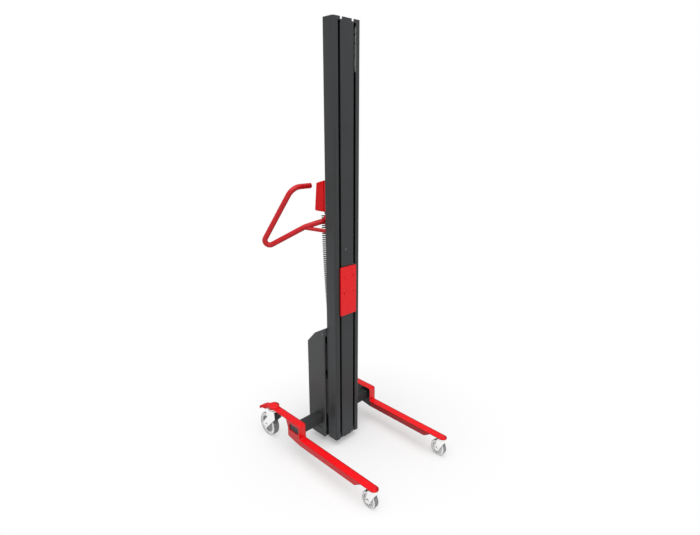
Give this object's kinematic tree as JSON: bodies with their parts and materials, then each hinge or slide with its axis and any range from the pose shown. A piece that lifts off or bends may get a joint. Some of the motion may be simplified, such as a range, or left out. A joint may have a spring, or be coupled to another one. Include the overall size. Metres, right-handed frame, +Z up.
{
  "type": "mini stacker",
  "caption": "Narrow straddle stacker: slotted mast with a lifting carriage plate, cranked legs on swivel castors, drive casing, handlebar, control box and curly cord.",
  "frame": {"origin": "on the floor in the middle of the footprint", "axes": "+Z up, -Y forward to the leg tips and the carriage plate, +X across the machine"},
  "size_m": [0.559, 0.8399, 2.0022],
  "materials": {
    "mast_grey": "dark grey powder coat",
    "frame_grey": "dark grey powder coat",
    "red_paint": "gloss red powder coat",
    "red_plastic": "satin red",
    "dark_plastic": "matte black",
    "zinc_steel": "zinc plated",
    "fork_grey": "bright zinc plated",
    "wheel_white": "white nylon",
    "grey_tread": "grey non-marking rubber",
    "machined_aluminium": "machined",
    "pad_white": "white acetal",
    "black_paint": "black",
    "black_rubber": "black"
  },
  "bodies": {
    "chassis": {"mast_profile": "mast_grey", "mast_top_cap": "mast_grey", "mast_base": "mast_grey", "mast_screws": "zinc_steel", "guide_rails": "zinc_steel", "drive_belt": "black_rubber", "shaft_bearing": "zinc_steel", "top_pulley_axle": "zinc_steel", "mast_bolts": "zinc_steel", "cross_tube": "frame_grey", "tube_plugs": "dark_plastic", "left_leg": "red_paint", "right_leg": "red_paint", "casing_cover": "frame_grey", "casing_floor": "frame_grey", "casing_screws": "zinc_steel", "battery_shelf": "frame_grey", "batteries": "dark_plastic", "motor_controller": "machined_aluminium", "gearbox": "machined_aluminium", "drive_motor": "black_paint", "handlebar": "red_paint", "handlebar_bracket": "red_paint", "bracket_screws": "zinc_steel", "handlebar_stays": "red_paint", "control_box_body": "red_plastic", "control_box_lid": "red_plastic", "cord_glands": "dark_plastic", "curly_cord": "black_rubber", "front_castor_stems": "fork_grey", "rear_castor_stems": "fork_grey"},
    "carriage": {"carriage_plate": "red_paint", "sliders": "black_paint", "glide_pads": "pad_white", "belt_clamp": "machined_aluminium"},
    "drive_pulley_body": {"drive_pulley": "machined_aluminium", "drive_shaft": "zinc_steel"},
    "top_pulley_body": {"top_pulley": "machined_aluminium"},
    "up_button_body": {"up_button": "dark_plastic"},
    "down_button_body": {"down_button": "dark_plastic"},
    "front_left_castor": {"front_left_fork": "fork_grey", "front_left_axle": "zinc_steel"},
    "front_left_wheel": {"front_left_hub": "wheel_white", "front_left_tyre": "grey_tread"},
    "front_right_castor": {"front_right_fork": "fork_grey", "front_right_axle": "zinc_steel"},
    "front_right_wheel": {"front_right_hub": "wheel_white", "front_right_tyre": "grey_tread"},
    "rear_left_castor": {"rear_left_fork": "fork_grey", "rear_left_axle": "zinc_steel", "rear_left_brake_housing": "dark_plastic"},
    "rear_left_wheel": {"rear_left_hub": "wheel_white", "rear_left_tyre": "grey_tread"},
    "left_brake_body": {"left_brake_pedal": "red_paint"},
    "rear_right_castor": {"rear_right_fork": "fork_grey", "rear_right_axle": "zinc_steel", "rear_right_brake_housing": "dark_plastic"},
    "rear_right_wheel": {"rear_right_hub": "wheel_white", "rear_right_tyre": "grey_tread"},
    "right_brake_body": {"right_brake_pedal": "red_paint"}
  },
  "joints": [
    {"name": "carriage_lift", "type": "slide", "parent": "chassis", "child": "carriage", "axis": [0, 0, 1], "range_m": [-0.64, 1.01]},
    {"name": "drive_pulley_spin", "type": "hinge", "parent": "chassis", "child": "drive_pulley_body", "pos_m": [0.05275, 0.06725, 0.085], "axis": [0, 1, 0], "continuous": true},
    {"name": "top_pulley_spin", "type": "hinge", "parent": "chassis", "child": "top_pulley_body", "pos_m": [0.05275, 0.06725, 1.95], "axis": [0, 1, 0], "continuous": true},
    {"name": "up_button_press", "type": "slide", "parent": "chassis", "child": "up_button_body", "axis": [0, -0.995, -0.0995], "range_m": [0, 0.004], "stiffness_N_per_m": 600},
    {"name": "down_button_press", "type": "slide", "parent": "chassis", "child": "down_button_body", "axis": [0, -0.995, -0.0995], "range_m": [0, 0.004], "stiffness_N_per_m": 600},
    {"name": "front_left_swivel", "type": "hinge", "parent": "chassis", "child": "front_left_castor", "pos_m": [-0.2495, -0.39575, 0.04], "axis": [0, 0, 1], "continuous": true},
    {"name": "front_left_roll", "type": "hinge", "parent": "front_left_castor", "child": "front_left_wheel", "pos_m": [-0.2495, -0.37575, 0.04], "axis": [1, 0, 0], "continuous": true},
    {"name": "front_right_swivel", "type": "hinge", "parent": "chassis", "child": "front_right_castor", "pos_m": [0.2495, -0.39575, 0.04], "axis": [0, 0, 1], "continuous": true},
    {"name": "front_right_roll", "type": "hinge", "parent": "front_right_castor", "child": "front_right_wheel", "pos_m": [0.2495, -0.37575, 0.04], "axis": [1, 0, 0], "continuous": true},
    {"name": "rear_left_swivel", "type": "hinge", "parent": "chassis", "child": "rear_left_castor", "pos_m": [-0.2495, 0.31075, 0.0625], "axis": [0, 0, 1], "continuous": true},
    {"name": "rear_left_roll", "type": "hinge", "parent": "rear_left_castor", "child": "rear_left_wheel", "pos_m": [-0.2495, 0.35525, 0.0625], "axis": [1, 0, 0], "continuous": true},
    {"name": "left_brake", "type": "hinge", "parent": "rear_left_castor", "child": "left_brake_body", "pos_m": [-0.2495, 0.33475, 0.15], "axis": [-1, 0, 0], "range_deg": [0, 15]},
    {"name": "rear_right_swivel", "type": "hinge", "parent": "chassis", "child": "rear_right_castor", "pos_m": [0.2495, 0.31075, 0.0625], "axis": [0, 0, 1], "continuous": true},
    {"name": "rear_right_roll", "type": "hinge", "parent": "rear_right_castor", "child": "rear_right_wheel", "pos_m": [0.2495, 0.35525, 0.0625], "axis": [1, 0, 0], "continuous": true},
    {"name": "right_brake", "type": "hinge", "parent": "rear_right_castor", "child": "right_brake_body", "pos_m": [0.2495, 0.33475, 0.15], "axis": [-1, 0, 0], "range_deg": [0, 15]}
  ],
  "couplings": [
    {"joint": "drive_pulley_spin", "follows": "carriage_lift", "rad_per_m": 58.824},
    {"joint": "top_pulley_spin", "follows": "carriage_lift", "rad_per_m": 58.824}
  ]
}
